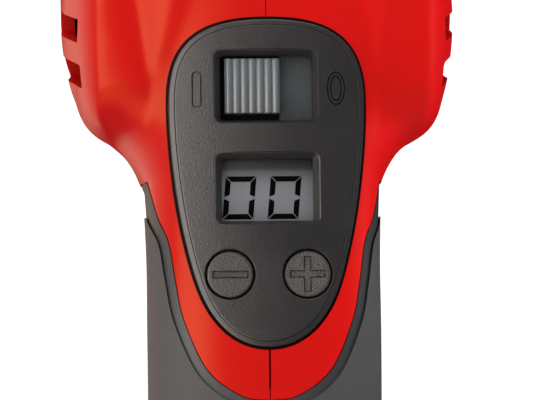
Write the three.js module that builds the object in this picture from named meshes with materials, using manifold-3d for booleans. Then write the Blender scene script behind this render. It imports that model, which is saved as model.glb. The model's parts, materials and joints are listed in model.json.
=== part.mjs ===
// Pistol-grip heat gun with a rear control panel, as separate solids in millimetres.
// +Z is up, the nozzle points along +Y and the control panel faces -Y; x = 0 is the seam plane.
// Y is measured from the back of the handle until the whole model is centred at the end.
import * as THREE from 'three';
import { mergeVertices } from 'three/addons/utils/BufferGeometryUtils.js';
import Module from 'manifold-3d';

const wasm = await Module();
wasm.setup();

// ---- Driving dimensions ----
const GAP = 0.3; // clearance between pieces that touch
const AXIS_Z = 160; // barrel axis above the base of the handle
const WALL = 3; // moulded wall of the two shells
const FLOOR = 5; // thickness of the handle's base
const GRIP_SKIN = 1.8; // soft overmould let into the shells
const FRONT_BORE_R = 33; // seat for the nozzle guard's spigot
const BARREL_END = 150; // front rim of the shells
const NOZZLE_END = 238; // mouth of the nozzle tube
const NOZZLE_R = 17;
const PANEL_TILT = THREE.MathUtils.degToRad(12);
const PANEL_Y = 15.3; // centre of the panel on the back of the body
const PANEL_Z = 122.5;
const PANEL_BULGE_R = 75; // the panel's face is part of an upright cylinder
const PANEL_PROUD = 0.8;
const PANEL_THICK = 2.2;
const FULL_TURN = 2 * Math.PI;

// Sections of the body, from the base of the handle up and round to the front of the barrel.
// back and front are [y, height from the barrel axis]; half is the half width; the last two
// numbers are the superellipse exponents of the back and the front of the section.
const STATIONS = [
  { back: [4.5, -160], front: [46.5, -160], half: 21.8, square: [2.8, 2.4] },
  { back: [1.6, -158], front: [49, -158], half: 23.8, square: [2.8, 2.4] },
  { back: [0.4, -152], front: [50.2, -152], half: 24.5, square: [2.8, 2.4] },
  { back: [1.4, -138], front: [48, -138], half: 24.3, square: [2.8, 2.3] },
  { back: [3, -114], front: [47.2, -114], half: 24.2, square: [2.8, 2.3] },
  { back: [5.4, -90], front: [50, -92], half: 24.4, square: [2.8, 2.3] },
  { back: [8.4, -70], front: [54.5, -73], half: 24.5, square: [2.9, 2.3] },
  { back: [11.8, -54], front: [60, -61], half: 24.5, square: [3, 2.3] },
  { back: [15.2, -38], front: [65.5, -53], half: 25, square: [3, 2.1] },
  { back: [16.6, -32], front: [67.3, -51.3], half: 25.7, square: [2.95, 2] },
  { back: [18.6, -22], front: [70, -48.5], half: 29.3, square: [2.8, 1.6] },
  { back: [22.6, -4], front: [74, -46], half: 38.8, square: [2.6, 1.62] },
  { back: [31, 16], front: [78, -44.5], half: 42, square: [2.5, 1.7] },
  { back: [48, 33], front: [83, -43.4], half: 42.5, square: [2.2, 1.95] },
  { back: [72, 42.4], front: [90, -42.6], half: 42.4, square: [2, 2] },
  { back: [98, 41.8], front: [102, -41.6], half: 41.7, square: [2, 2] },
  { back: [126, 39.6], front: [126, -39.6], half: 39.6, square: [2, 2] },
  { back: [BARREL_END, 36.5], front: [BARREL_END, -36.5], half: 36.5, square: [2, 2] },
];

// Screws that join the shells, as [y, z]; each boss runs across the body.
const SCREW_PLACES = [[41, 16], [43, 98], [62, 126], [141, 129], [141, 191], [72, 196]];
const BOSS_R = 4;
const HEAD_SEAT = [14, 14, 17, 17, 17, 9]; // how far out each screw's head sits on the right
const SCREW_R = 1.4;
const SCREW_HEAD_R = 3;

// Cooling slots in each side of the body; each higher slot starts a little further forward.
const VENT_HEIGHTS = [-17.5, -8, 1.5, 11, 20.5];
const VENT_BACK = 39.5;
const VENT_SLANT = 0.2;
const VENT_LONG = 24;
const VENT_HIGH = 5;

// Half of the control panel's outline in its own plane; u is across and v is up.
const PANEL_TOP = 34.1;
const PANEL_WIDE = 20.4;

// Windows in the panel, as [left, right, bottom, top].
const SWITCH_WINDOW = [-9.6, 9.6, 13.1, 26.5];
const DISPLAY_WINDOW = [-9.5, 9.5, -7.8, 5.1];
const KNOB = [-8.7, 2.75, 14.5, 26];
const BUTTON_U = 8;
const BUTTON_V = -19;
const BUTTON_R = 4.8;
const BUTTON_HOLE_R = 5.1;

// ---- Solids ----
function signedVolume(geometry) {
  const { array } = geometry.attributes.position;
  const index = geometry.index.array;
  const corners = [new THREE.Vector3(), new THREE.Vector3(), new THREE.Vector3()];
  let total = 0;
  for (let i = 0; i < index.length; i += 3) {
    corners.forEach((corner, k) => corner.fromArray(array, index[i + k] * 3));
    total += corners[0].dot(corners[1].cross(corners[2])) / 6;
  }
  return total;
}

function solid(geometry) {
  const bare = geometry.clone();
  bare.deleteAttribute('normal');
  bare.deleteAttribute('uv');
  const merged = mergeVertices(bare, 1e-4);
  const triangles = Uint32Array.from(merged.index.array);
  if (signedVolume(merged) < 0) {
    triangles.reverse();
  }
  return new wasm.Manifold(new wasm.Mesh({
    numProp: 3,
    vertProperties: Float32Array.from(merged.attributes.position.array),
    triVerts: triangles,
  }));
}

function geometryOf(manifold) {
  const mesh = manifold.getMesh();
  const geometry = new THREE.BufferGeometry();
  geometry.setAttribute('position', new THREE.BufferAttribute(mesh.vertProperties, 3));
  geometry.setIndex(new THREE.BufferAttribute(mesh.triVerts, 1));
  geometry.computeVertexNormals();
  return geometry;
}

const join = (...solids) => solids.reduce((whole, piece) => whole.add(piece));
const cut = (whole, ...tools) => tools.reduce((rest, tool) => rest.subtract(tool), whole);

// A box between two corners.
function block([x0, y0, z0], [x1, y1, z1]) {
  const geometry = new THREE.BoxGeometry(x1 - x0, y1 - y0, z1 - z0);
  return solid(geometry.translate((x0 + x1) / 2, (y0 + y1) / 2, (z0 + z1) / 2));
}

// A round bar between two values on one axis, centred at the other two coordinates.
function bar(axis, from, to, radius, [a, b], sides = 20) {
  const geometry = new THREE.CylinderGeometry(radius, radius, to - from, sides);
  const middle = (from + to) / 2;
  if (axis === 'x') {
    return solid(geometry.rotateZ(-Math.PI / 2).translate(middle, a, b));
  }
  if (axis === 'y') {
    return solid(geometry.translate(a, middle, b));
  }
  return solid(geometry.rotateX(Math.PI / 2).translate(a, b, middle));
}

// A turned piece round the barrel axis from a closed [radius, y] profile.
function turned(profile, sides = 24) {
  const points = [...profile, profile[0]].map(([radius, y]) => new THREE.Vector2(radius, y));
  return solid(new THREE.LatheGeometry(points, sides, 0, FULL_TURN).translate(0, 0, AXIS_Z));
}

const tube = (inner, outer, from, to, sides) => (
  turned([[inner, from], [outer, from], [outer, to], [inner, to]], sides)
);

function prism(points, from, to) {
  const shape = new THREE.Shape(points);
  const geometry = new THREE.ExtrudeGeometry(shape, { depth: to - from, bevelEnabled: false });
  return solid(geometry.translate(0, 0, from));
}

// ---- Body surface ----
const curveOf = (pick) => (
  new THREE.CatmullRomCurve3(STATIONS.map((row) => new THREE.Vector3(...pick(row))), false, 'catmullrom')
);
const backLine = curveOf((row) => [0, row.back[0], row.back[1] + AXIS_Z]);
const frontLine = curveOf((row) => [0, row.front[0], row.front[1] + AXIS_Z]);
const sectionShape = curveOf((row) => [row.half, ...row.square]);

const power = (value, exponent) => Math.sign(value) * Math.abs(value) ** exponent;

function bodyPoint(along, angle, inset) {
  const back = backLine.getPoint(along);
  const front = frontLine.getPoint(along);
  const [half, squareBack, squareFront] = sectionShape.getPoint(along).toArray();
  const towardsBack = back.clone().sub(front);
  const reach = towardsBack.length() / 2 - inset;
  const middle = back.clone().add(front).multiplyScalar(0.5);
  const exponent = 2 / (Math.cos(angle) > 0 ? squareBack : squareFront);
  const point = middle.addScaledVector(towardsBack.normalize(), reach * power(Math.cos(angle), exponent));
  point.x = (half - inset) * power(Math.sin(angle), exponent);
  return point;
}

// The whole body as one closed loft, drawn in from its true surface by inset.
function body(inset, rings, sides) {
  const positions = [];
  const index = [];
  for (let ring = 0; ring <= rings; ring += 1) {
    for (let side = 0; side < sides; side += 1) {
      const angle = (FULL_TURN * side) / sides;
      positions.push(...bodyPoint(ring / rings, angle, inset).toArray());
    }
  }
  for (let ring = 0; ring < rings; ring += 1) {
    for (let side = 0; side < sides; side += 1) {
      const a = ring * sides + side;
      const b = ring * sides + ((side + 1) % sides);
      index.push(a, b, a + sides, b, b + sides, a + sides);
    }
  }
  for (const ring of [0, rings]) {
    const centre = positions.length / 3;
    const middle = bodyPoint(ring / rings, 0, inset).add(bodyPoint(ring / rings, Math.PI, inset));
    positions.push(...middle.multiplyScalar(0.5).toArray());
    for (let side = 0; side < sides; side += 1) {
      const a = ring * sides + side;
      const b = ring * sides + ((side + 1) % sides);
      index.push(...(ring === 0 ? [centre, b, a] : [centre, a, b]));
    }
  }
  const geometry = new THREE.BufferGeometry();
  geometry.setAttribute('position', new THREE.Float32BufferAttribute(positions, 3));
  geometry.setIndex(index);
  return solid(geometry);
}

const BODY_RINGS = 30;
const BODY_SIDES = 28;
const HOLLOW_RINGS = 18;
const HOLLOW_SIDES = 20;
const outerBody = body(0, BODY_RINGS, BODY_SIDES);

// ---- Panel frame ----
// u runs across (+X), v runs up the panel and w stands out of its face.
const panelFrame = new THREE.Matrix4().makeBasis(
  new THREE.Vector3(1, 0, 0),
  new THREE.Vector3(0, Math.sin(PANEL_TILT), Math.cos(PANEL_TILT)),
  new THREE.Vector3(0, -Math.cos(PANEL_TILT), Math.sin(PANEL_TILT)),
);
panelFrame.setPosition(0, PANEL_Y, PANEL_Z);
const inBody = (manifold) => solid(geometryOf(manifold).applyMatrix4(panelFrame));

function panelOutline(offset) {
  const shape = new THREE.Shape();
  shape.moveTo(0, PANEL_TOP);
  shape.bezierCurveTo(14.5, PANEL_TOP, PANEL_WIDE, 29.5, PANEL_WIDE, 16.7);
  shape.bezierCurveTo(PANEL_WIDE, 4, 17.9, -12, 14.6, -21.5);
  shape.bezierCurveTo(12, -28.9, 7, -PANEL_TOP, 0, -PANEL_TOP);
  shape.bezierCurveTo(-7, -PANEL_TOP, -12, -28.9, -14.6, -21.5);
  shape.bezierCurveTo(-17.9, -12, -PANEL_WIDE, 4, -PANEL_WIDE, 16.7);
  shape.bezierCurveTo(-PANEL_WIDE, 29.5, -14.5, PANEL_TOP, 0, PANEL_TOP);
  const points = shape.getPoints(5).slice(0, -1);
  return points.map((point, i) => {
    const before = points.at(i - 1);
    const after = points[(i + 1) % points.length];
    const outward = new THREE.Vector2(before.y - after.y, after.x - before.x).normalize();
    return point.clone().addScaledVector(outward, offset);
  });
}

const panelPrism = (offset, from, to) => prism(panelOutline(offset), from, to);
const panelBox = ([left, right, bottom, top], from, to) => block([left, bottom, from], [right, top, to]);
const panelBar = (radius, u, v, from, to, sides = 24) => bar('z', from, to, radius, [u, v], sides);

// The upright cylinder that bounds the panel's face, its top at height w when u = 0.
function bulge(w) {
  const cylinder = new THREE.CylinderGeometry(PANEL_BULGE_R, PANEL_BULGE_R, 90, 72);
  return solid(cylinder.translate(0, 0, w - PANEL_BULGE_R));
}

// ---- Shells and grips ----
const PANEL_CLEARANCE = 0.5;
const LEDGE_TOP = -5.3;
const LEDGE_BOTTOM = -8.3;
const LEDGE_INNER = -1.8;
const GRIP_TOP = 1.5;
const TONGUE_END = -45.2;
const GRIP_BASE = 10;
const GRIP_SPLIT = -24; // the grip closes round the front of the handle from here forward

// Outline of everything outside the shells' red tongue, on one side, in panel coordinates.
function gripOutline(offset) {
  const edge = new THREE.SplineCurve([
    new THREE.Vector2(0, TONGUE_END),
    new THREE.Vector2(5.9, -44.2),
    new THREE.Vector2(12.9, -38.8),
    new THREE.Vector2(17.6, -28.5),
    new THREE.Vector2(19.3, -20.2),
    new THREE.Vector2(20.6, -12),
    new THREE.Vector2(22.7, -6.5),
    new THREE.Vector2(24.7, GRIP_TOP),
  ]).getPoints(18);
  const inner = edge.map((point) => new THREE.Vector2(point.x - offset, point.y + offset));
  inner[0].x = -1;
  return [...inner, new THREE.Vector2(50, GRIP_TOP + offset), new THREE.Vector2(50, -150),
    new THREE.Vector2(-1, -150)];
}

// Space taken by the grip on one side: outside the tongue at the back, all round at the front.
function gripSpace(side, offset) {
  const beside = prism(gripOutline(offset), GRIP_SPLIT, 30);
  const before = panelBox([-1, 50, -150, GRIP_TOP + offset], -110, GRIP_SPLIT + 0.01 + offset);
  const base = block([-60, -80, -20], [60, 150, GRIP_BASE - offset]);
  const right = cut(inBody(join(beside, before)), base);
  return side > 0 ? right : solid(geometryOf(right).scale(-1, 1, 1));
}

const side = (sign, from = GAP / 2) => (
  sign > 0 ? block([from, -60, -20], [90, 300, 260]) : block([-90, -60, -20], [-from, 300, 260])
);

const headHoles = () => SCREW_PLACES.map(([y, z], i) => (
  bar('x', HEAD_SEAT[i], 60, SCREW_HEAD_R + 0.5, [y, z], 12)
));

function grip(sign) {
  const skin = cut(outerBody, body(GRIP_SKIN, BODY_RINGS, BODY_SIDES), ...headHoles());
  return skin.intersect(gripSpace(sign, 0)).intersect(side(sign));
}

function hollow() {
  const inside = body(WALL, HOLLOW_RINGS, HOLLOW_SIDES);
  return join(
    cut(inside, block([-60, -40, -20], [60, 100, FLOOR])),
    bar('y', BARREL_END - 12, BARREL_END + 5, FRONT_BORE_R, [0, AXIS_Z], 36),
  );
}

function shellBosses() {
  const bosses = SCREW_PLACES.map(([y, z]) => bar('x', -60, 60, BOSS_R, [y, z], 10));
  return join(...bosses).intersect(outerBody);
}

const CLAMP_Z = 24;
const CORD_Y = 25.5; // the cord's line up the handle
const CLAMP_SPREAD = 9;
const CLAMP_POST_END = 3.4;
const clampPlaces = [CORD_Y - CLAMP_SPREAD, CORD_Y + CLAMP_SPREAD];

function ventCutters() {
  const slots = VENT_HEIGHTS.map((height) => {
    const back = VENT_BACK + VENT_SLANT * height;
    const z = AXIS_Z + height;
    return block([-60, back, z - VENT_HIGH / 2], [60, back + VENT_LONG, z + VENT_HIGH / 2]);
  });
  return cut(join(...slots), block([-22, 0, 0], [22, 200, 300]));
}

const GLAND_R = 7;

function shells() {
  const collar = inBody(panelPrism(4, LEDGE_BOTTOM, 6)).intersect(outerBody);
  const walls = join(cut(outerBody, hollow()), collar, shellBosses());
  const screwHoles = SCREW_PLACES.map(([y, z], i) => join(
    bar('x', -10, 0.5, SCREW_R + 0.4, [y, z], 8),
    bar('x', 0, HEAD_SEAT[i] + 1, SCREW_R + 0.6, [y, z], 8),
  ));
  return cut(
    walls,
    inBody(panelPrism(PANEL_CLEARANCE, LEDGE_TOP, 16)),
    inBody(panelPrism(LEDGE_INNER, -20, 16)),
    ventCutters(),
    bar('z', -5, FLOOR + 5, GLAND_R + GAP, [0, CORD_Y], 24),
    ...screwHoles,
    ...headHoles(),
  );
}

const wholeShell = shells();
const gripBed = body(GRIP_SKIN + GAP, BODY_RINGS, BODY_SIDES);

function housing(sign) {
  const half = wholeShell.intersect(side(sign));
  const bedded = cut(half, cut(gripSpace(sign, GAP), gripBed));
  if (sign > 0) {
    return bedded;
  }
  const posts = clampPlaces.map((y) => cut(
    bar('x', -30, CLAMP_POST_END, 3, [y, CLAMP_Z], 14).intersect(gripBed),
    bar('x', -8, 9, SCREW_R + 0.4, [y, CLAMP_Z], 8),
  ));
  return join(bedded, ...posts);
}

function intakeScreen(sign) {
  const sheet = cut(
    body(WALL + 0.5, HOLLOW_RINGS, HOLLOW_SIDES),
    body(WALL + 1.5, HOLLOW_RINGS, HOLLOW_SIDES),
  );
  const lowest = AXIS_Z + VENT_HEIGHTS[0] - 4;
  const highest = AXIS_Z + VENT_HEIGHTS.at(-1) + 4;
  const patch = block([24, 34, lowest], [60, 70, highest]);
  const right = sheet.intersect(patch);
  return sign > 0 ? right : solid(geometryOf(right).scale(-1, 1, 1));
}

// A screw along X with its head on the right.
function screwAlongX(seat, tip, [y, z]) {
  const head = bar('x', seat, seat + 2, SCREW_HEAD_R, [y, z], 12);
  const shank = bar('x', tip, seat + 0.5, SCREW_R, [y, z], 8);
  return cut(join(head, shank), block([seat + 1, y - 2, z - 0.4], [seat + 3, y + 2, z + 0.4]));
}

// ---- Control panel, in panel coordinates ----
const FACE_MARK_DEPTH = 0.5;
const face = bulge(PANEL_PROUD);
const belowFace = bulge(PANEL_PROUD - FACE_MARK_DEPTH);

const grow = ([left, right, bottom, top], by) => [left - by, right + by, bottom - by, top + by];

function ovalPoints(halfU, halfV, count = 20) {
  return Array.from({ length: count }, (_, i) => (
    new THREE.Vector2(halfU * Math.cos((FULL_TURN * i) / count), halfV * Math.sin((FULL_TURN * i) / count))
  ));
}

function controlPanel() {
  const plate = cut(panelPrism(0, -12, 8).intersect(face), bulge(PANEL_PROUD - PANEL_THICK));
  const rim = cut(panelPrism(0, LEDGE_TOP + GAP, 0).intersect(face), panelPrism(-1.2, -20, 8));
  const marks = cut(join(
    panelBox([-15.6, -13.5, 15.7, 23.3], -2, 8),
    cut(prism(ovalPoints(1.95, 3.5), -2, 8), prism(ovalPoints(1.25, 2.7), -3, 9)).translate([14.4, 19.6, 0]),
  ), belowFace);
  const holes = [-BUTTON_U, BUTTON_U].map((u) => panelBar(BUTTON_HOLE_R, u, BUTTON_V, -12, 8));
  return cut(
    join(plate, rim),
    panelBox(SWITCH_WINDOW, -12, 8),
    panelBox(grow(SWITCH_WINDOW, 1), -0.3, 8),
    panelBox(DISPLAY_WINDOW, -12, 8),
    panelBox(grow(DISPLAY_WINDOW, 1), -0.3, 8),
    marks,
    ...holes,
  );
}

const SHUTTER_TOP = -3.5;
const SHUTTER_THICK = 1.1;
const KNOB_TOP = -0.5;

function switchSlider() {
  const [left, right, bottom, top] = KNOB;
  const shutter = panelBox(
    [left - 7, right + 7.2, bottom - 2, top + 0.8],
    SHUTTER_TOP - SHUTTER_THICK,
    SHUTTER_TOP,
  );
  const knob = panelBox(KNOB, SHUTTER_TOP - 0.5, KNOB_TOP);
  const ridgeCount = 7;
  const pitch = (right - left) / ridgeCount;
  const ridges = Array.from({ length: ridgeCount }, (_, i) => {
    const middle = left + pitch * (i + 0.5);
    return panelBox([middle - 0.45, middle + 0.45, bottom, top], KNOB_TOP - 0.5, KNOB_TOP + 0.4);
  });
  const centre = (left + right) / 2;
  const stem = panelBox([centre - 2, centre + 2, 18.2, 22.2], -7.4, SHUTTER_TOP - 0.5);
  return join(shutter, knob, ...ridges, stem);
}

const BOARD_TOP = -14;
const BUTTON_TOP = 0.2;

function button(u, withPlus) {
  const disc = panelBar(BUTTON_R, u, BUTTON_V, -4, BUTTON_TOP);
  const flange = panelBar(5.4, u, BUTTON_V, -4.1, -3.1);
  const stem = panelBar(2, u, BUTTON_V, -7.5, -4, 14);
  const markDepth = BUTTON_TOP - 0.5;
  const strokes = [panelBox([u - 3.8, u + 3.8, BUTTON_V - 0.7, BUTTON_V + 0.7], markDepth, 2)];
  if (withPlus) {
    strokes.push(panelBox([u - 0.7, u + 0.7, BUTTON_V - 3.7, BUTTON_V + 3.7], markDepth, 2));
  }
  return cut(join(disc, flange, stem), ...strokes);
}

const tactSwitch = (u) => join(
  panelBox([u - 3, u + 3, BUTTON_V - 3, BUTTON_V + 3], BOARD_TOP + GAP, -10),
  panelBar(1.7, u, BUTTON_V, -10.5, -8.7, 14),
);
const slideSwitchBody = () => panelBox([-11, 5, 15.5, 25], BOARD_TOP + GAP, -7.8);
const controlBoard = () => panelBox([-14, 14, -28, 29], BOARD_TOP - 1.6, BOARD_TOP);
const displayWindow = () => panelBox([-10.9, 10.9, -9.3, 6.6], -3.4, -2.6);
const lcdModule = () => panelBox([-12.4, 12.4, -10.4, 7.6], -6.8, -3.7);
const lcdHolder = () => cut(
  panelBox([-12.4, 12.4, -10.4, 7.6], BOARD_TOP + GAP, -7.1),
  panelBox([-10.4, 10.4, -8.4, 5.6], BOARD_TOP - 1, -6),
);

// ---- Barrel ----
function nozzleGuard() {
  const rearR = 36.3;
  const spigotR = 32.6;
  const shroud = turned([
    [30.2, 145.4], [spigotR, 145.4], [spigotR, BARREL_END + GAP], [rearR, BARREL_END + GAP], [rearR, 157],
    [30.4, 188], [29, 194], [27, 196], [24, 196], [23.6, 194.5], [27.6, 187], [32, 160],
  ], 30);
  const slotCount = 10;
  const slots = Array.from({ length: slotCount }, (_, i) => {
    const slot = new THREE.BoxGeometry(6, 22, 30).translate(0, 173, 34);
    return solid(slot.rotateY((FULL_TURN * (i + 0.5)) / slotCount).translate(0, 0, AXIS_Z));
  });
  return cut(shroud, ...slots);
}

function nozzleTube() {
  return turned([
    [NOZZLE_R - 1, 124], [22, 124], [22, 125.4], [NOZZLE_R, 125.4], [NOZZLE_R, NOZZLE_END - 3],
    [NOZZLE_R + 0.7, NOZZLE_END - 2.4], [NOZZLE_R + 0.7, NOZZLE_END], [NOZZLE_R - 1, NOZZLE_END],
  ], 30);
}

const heatShield = () => turned([
  [NOZZLE_R + GAP, 146], [29.9, 146], [29.9, 147.2], [NOZZLE_R + 1.6, 147.2], [NOZZLE_R + 1.6, 152],
  [NOZZLE_R + GAP, 152],
], 30);
const heaterBase = () => cut(
  bar('y', 128, 131, 15.4, [0, AXIS_Z], 28),
  ...[0, 1, 2, 3].map((i) => {
    const angle = (Math.PI / 2) * (i + 0.5);
    return bar('y', 120, 140, 4, [9 * Math.cos(angle), AXIS_Z + 9 * Math.sin(angle)], 12);
  }),
);
const micaCross = () => join(
  block([-10.4, 131.3, AXIS_Z - 0.4], [10.4, 212, AXIS_Z + 0.4]),
  block([-0.4, 131.3, AXIS_Z - 10.4], [0.4, 212, AXIS_Z + 10.4]),
);
const micaSleeve = () => tube(14.5, 15.3, 131.4, 214, 28);

// The heating wire: a helix wound round the edges of the mica cross.
function heaterCoil() {
  const turns = 8;
  const radius = 12.2;
  class Helix extends THREE.Curve {
    getPoint(t, target = new THREE.Vector3()) {
      const angle = FULL_TURN * turns * t;
      return target.set(radius * Math.cos(angle), 135 + 72 * t, AXIS_Z + radius * Math.sin(angle));
    }
  }
  const wire = new THREE.Shape(ovalPoints(0.8, 0.8, 4));
  return solid(new THREE.ExtrudeGeometry(wire, {
    steps: turns * 9, extrudePath: new Helix(), bevelEnabled: false,
  }));
}

const temperatureSensor = () => join(
  bar('y', 212.4, 221, 0.9, [0, AXIS_Z], 10),
  bar('y', 220, 225, 1.7, [0, AXIS_Z], 12),
);
const thermalCutout = () => block([-4, 117.5, AXIS_Z + 9], [4, 123.4, AXIS_Z + 14]);

const MOTOR_R = 17.5;
const SHAFT_R = 1.5;
const SHAFT_HOLE_R = SHAFT_R + GAP;
const motorCan = () => cut(
  bar('y', 56, 88, MOTOR_R, [0, AXIS_Z], 32),
  bar('y', 76, 90, SHAFT_HOLE_R, [0, AXIS_Z], 12),
);
const motorEndBell = () => join(
  bar('y', 50, 55.7, 15, [0, AXIS_Z], 28),
  bar('y', 47, 51, 5, [0, AXIS_Z], 16),
);
const motorShaft = () => bar('y', 76.5, 108, SHAFT_R, [0, AXIS_Z], 12);

function fanImpeller() {
  const bladeCount = 9;
  const blades = Array.from({ length: bladeCount }, (_, i) => {
    const blade = new THREE.BoxGeometry(1.2, 14, 20).rotateZ(0.6).translate(0, 98, 16);
    return solid(blade.rotateY((FULL_TURN * i) / bladeCount).translate(0, 0, AXIS_Z));
  });
  const hub = join(bar('y', 91.5, 105, 8, [0, AXIS_Z], 24), ...blades);
  return cut(hub, bar('y', 80, 110, SHAFT_HOLE_R, [0, AXIS_Z], 12));
}

const fanDuct = () => turned([
  [28.4, 89], [29.8, 89], [29.8, 98], [37.6, 98], [37.6, 99.6], [29.8, 99.6], [29.8, 109], [24, 122],
  [22.4, 122], [28.4, 108],
]);

function motorCradle() {
  const rings = tube(MOTOR_R + GAP, 33.5, 66, 68);
  const airHoles = Array.from({ length: 6 }, (_, i) => {
    const angle = (FULL_TURN * i) / 6;
    return bar('y', 60, 75, 5, [26 * Math.cos(angle), AXIS_Z + 26 * Math.sin(angle)], 10);
  });
  return cut(rings, ...airHoles);
}

const rectifierBoard = () => block([-10, 44.6, AXIS_Z - 8], [10, 46.2, AXIS_Z + 8]);

// ---- Inside the handle ----
function heatSink() {
  const back = block([-12, 24, 58], [12, 27, 86]);
  const fins = Array.from({ length: 5 }, (_, i) => (
    block([-12 + i * 5.6, 26.5, 58], [-10.4 + i * 5.6, 36, 86])
  ));
  return join(back, ...fins);
}

const triac = () => block([-5, 18.8, 64], [5, 23.7, 80]);
const filterCapacitor = () => block([-9, 18, 42], [9, 28, 54]);
const terminalBlock = () => cut(
  block([-11, 20, 31], [11, 30, 39]),
  ...[-6, 0, 6].map((x) => bar('z', 30, 35, 1.6, [x, 25], 12)),
);
const cordClamp = () => cut(
  block(
    [CLAMP_POST_END + GAP, CORD_Y - 13, CLAMP_Z - 3.5],
    [CLAMP_POST_END + 3.3, CORD_Y + 13, CLAMP_Z + 3.5],
  ),
  ...clampPlaces.map((y) => bar('x', 0, 9, SCREW_R + 0.4, [y, CLAMP_Z], 8)),
);

function cableGland() {
  const profile = [[3.8, 0], [GLAND_R, 0], [GLAND_R, FLOOR + GAP], [9.5, FLOOR + GAP], [9.5, 8], [3.8, 8]];
  const points = [...profile, profile[0]].map(([radius, y]) => new THREE.Vector2(radius, y));
  return solid(new THREE.LatheGeometry(points, 18).rotateX(Math.PI / 2).translate(0, CORD_Y, 0));
}

// ---- Materials ----
const material = (color, roughness, metalness = 0) => (
  new THREE.MeshStandardMaterial({ color, roughness, metalness })
);
const RED = material(0xc61618, 0.42);
const GREY = material(0x3e3c3b, 0.6);
const RUBBER = material(0x5f5e5d, 0.85);
const KNOB_GREY = material(0x6e7274, 0.5);
const BLACK = material(0x1c1c1d, 0.6);
const CLEAR = new THREE.MeshStandardMaterial({ color: 0xcfd6d8, transparent: true, opacity: 0.35 });
const LCD = material(0x80838a, 0.35);
const STEEL = material(0xb8b6b0, 0.3, 1);
const COPPER = material(0xb88746, 0.35, 1);
const MICA = material(0xcfc3a4, 0.5);
const CERAMIC = material(0xe6e2d8, 0.6);
const BOARD = material(0x1d5a3a, 0.5);
const ALUMINIUM = material(0xa8abae, 0.4, 1);
const WHITE = material(0xe4e2dc, 0.5);

function mesh(name, manifold, finish) {
  const piece = new THREE.Mesh(geometryOf(manifold), finish);
  piece.name = name;
  return piece;
}

// ---- Assembly ----
const heatGun = new THREE.Group();
heatGun.add(
  mesh('housing_left', housing(-1), RED),
  mesh('housing_right', housing(1), RED),
  mesh('grip_left', grip(-1), RUBBER),
  mesh('grip_right', grip(1), RUBBER),
  mesh('intake_screen_left', intakeScreen(-1), BLACK),
  mesh('intake_screen_right', intakeScreen(1), BLACK),
  mesh('nozzle_guard', nozzleGuard(), BLACK),
  mesh('nozzle_tube', nozzleTube(), STEEL),
  mesh('heat_shield', heatShield(), STEEL),
  mesh('heater_base', heaterBase(), CERAMIC),
  mesh('mica_cross', micaCross(), MICA),
  mesh('mica_sleeve', micaSleeve(), MICA),
  mesh('heater_coil', heaterCoil(), COPPER),
  mesh('temperature_sensor', temperatureSensor(), STEEL),
  mesh('thermal_cutout', thermalCutout(), STEEL),
  mesh('motor_can', motorCan(), STEEL),
  mesh('motor_end_bell', motorEndBell(), WHITE),
  mesh('motor_shaft', motorShaft(), STEEL),
  mesh('motor_cradle', motorCradle(), BLACK),
  mesh('rectifier_board', rectifierBoard(), BOARD),
  mesh('fan_impeller', fanImpeller(), BLACK),
  mesh('fan_duct', fanDuct(), BLACK),
  mesh('heat_sink', heatSink(), ALUMINIUM),
  mesh('triac', triac(), BLACK),
  mesh('filter_capacitor', filterCapacitor(), WHITE),
  mesh('terminal_block', terminalBlock(), WHITE),
  mesh('cord_clamp', cordClamp(), BLACK),
  mesh('cable_gland', cableGland(), BLACK),
);
SCREW_PLACES.forEach((place, i) => {
  heatGun.add(mesh(`housing_screw_${i + 1}`, screwAlongX(HEAD_SEAT[i] + GAP, -9.5, place), STEEL));
});
clampPlaces.forEach((y, i) => {
  const seat = CLAMP_POST_END + 3.3 + GAP;
  heatGun.add(mesh(`clamp_screw_${i + 1}`, screwAlongX(seat, -7, [y, CLAMP_Z]), STEEL));
});

const panelGroup = new THREE.Group();
panelGroup.applyMatrix4(panelFrame);
panelGroup.add(
  mesh('control_panel', controlPanel(), GREY),
  mesh('switch_slider', switchSlider(), KNOB_GREY),
  mesh('minus_button', button(-BUTTON_U, false), GREY),
  mesh('plus_button', button(BUTTON_U, true), GREY),
  mesh('display_window', displayWindow(), CLEAR),
  mesh('lcd_module', lcdModule(), LCD),
  mesh('lcd_holder', lcdHolder(), BLACK),
  mesh('slide_switch_body', slideSwitchBody(), BLACK),
  mesh('tact_switch_minus', tactSwitch(-BUTTON_U), BLACK),
  mesh('tact_switch_plus', tactSwitch(BUTTON_U), BLACK),
  mesh('control_board', controlBoard(), BOARD),
);
heatGun.add(panelGroup);

// The origin is under the middle of the whole object.
const extent = new THREE.Box3().setFromObject(heatGun);
heatGun.position.y = -(extent.min.y + extent.max.y) / 2;

export default heatGun;
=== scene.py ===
"""Looks of the heat gun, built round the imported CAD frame. Lengths are in millimetres up to the mesh."""
import json
import math

import bmesh
import bpy
import numpy as np
from mathutils import Matrix, Vector


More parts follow.
